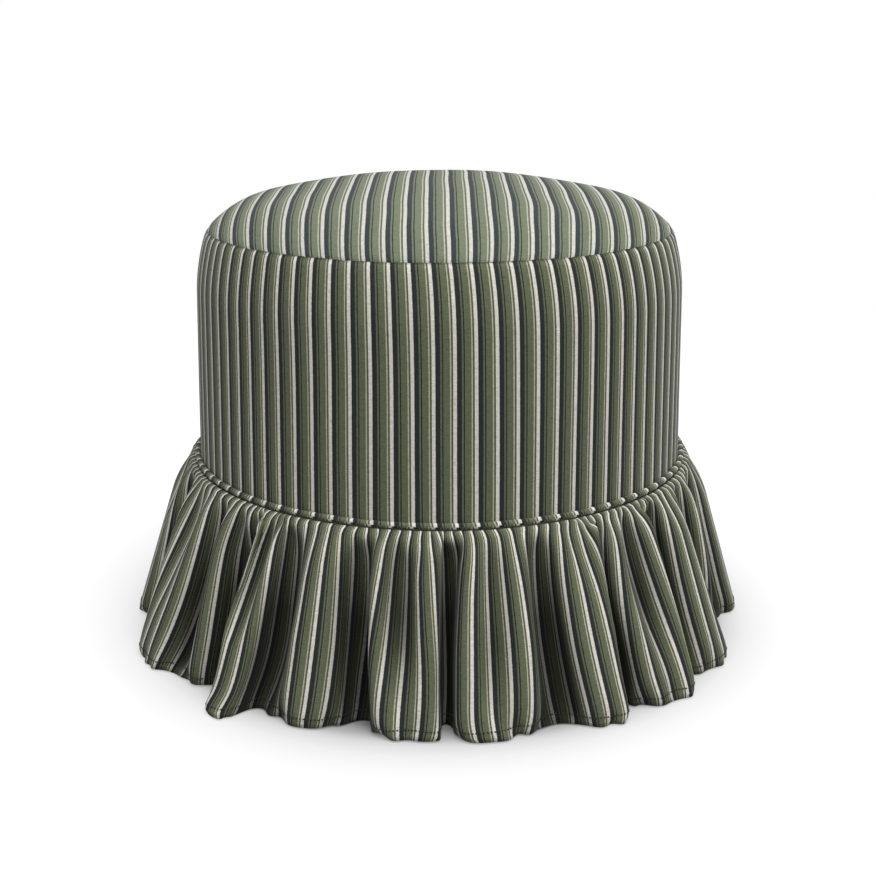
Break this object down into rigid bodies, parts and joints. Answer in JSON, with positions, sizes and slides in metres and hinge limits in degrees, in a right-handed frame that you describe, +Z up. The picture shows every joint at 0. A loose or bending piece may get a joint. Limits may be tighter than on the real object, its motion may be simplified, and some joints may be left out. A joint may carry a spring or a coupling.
{
  "type": "skirted ottoman",
  "caption": "Round upholstered ottoman with a crowned padded seat, striped woven cover, piped welt and a gathered floor-length skirt hiding short turned feet.",
  "frame": {"origin": "on the floor under the centre of the drum", "axes": "+Z up, -Y towards the front seen in the picture, +X to its right"},
  "size_m": [0.6042, 0.6267, 0.432],
  "materials": {
    "plywood": "raw sanded birch plywood",
    "frame_wood": "raw planed softwood",
    "turned_wood": "dark stained turned beech, satin lacquer",
    "glide_plastic": "moulded nylon",
    "steel": "zinc plated",
    "hardboard": "smooth one side",
    "card": "grey board strip",
    "jute_webbing": "woven jute with dark edge lines",
    "burlap": "open plain weave",
    "foam": "cut polyurethane foam",
    "wadding": "bonded polyester wadding",
    "cotton_cord": "twisted cotton piping cord",
    "dust_cloth": "black spunbond underlining",
    "striped_cloth": "woven linen-like stripe in ivory, charcoal and sage"
  },
  "bodies": {
    "root": {"base_ring": "plywood", "deck_cloth": "burlap", "deck_ring": "plywood", "drum_wall": "hardboard", "dust_cover": "dust_cloth", "dust_cover_staples": "steel", "foot_1": "turned_wood", "foot_2": "turned_wood", "foot_3": "turned_wood", "foot_4": "turned_wood", "foot_glides": "glide_plastic", "frame_screws": "steel", "hanger_bolts": "steel", "seat_batting": "wadding", "seat_foam": "foam", "side_cover": "striped_cloth", "side_padding": "wadding", "skirt_back": "striped_cloth", "skirt_front": "striped_cloth", "skirt_rail": "plywood", "tack_strip": "card", "tee_nuts": "steel", "top_cover": "striped_cloth", "upright_1": "frame_wood", "upright_2": "frame_wood", "upright_3": "frame_wood", "upright_4": "frame_wood", "upright_5": "frame_wood", "upright_6": "frame_wood", "webbing_crosswise_1": "jute_webbing", "webbing_crosswise_2": "jute_webbing", "webbing_crosswise_3": "jute_webbing", "webbing_lengthwise_1": "jute_webbing", "webbing_lengthwise_2": "jute_webbing", "webbing_lengthwise_3": "jute_webbing", "webbing_staples": "steel", "welt_cord": "cotton_cord", "welt_cover": "striped_cloth"}
  },
  "joints": []
}
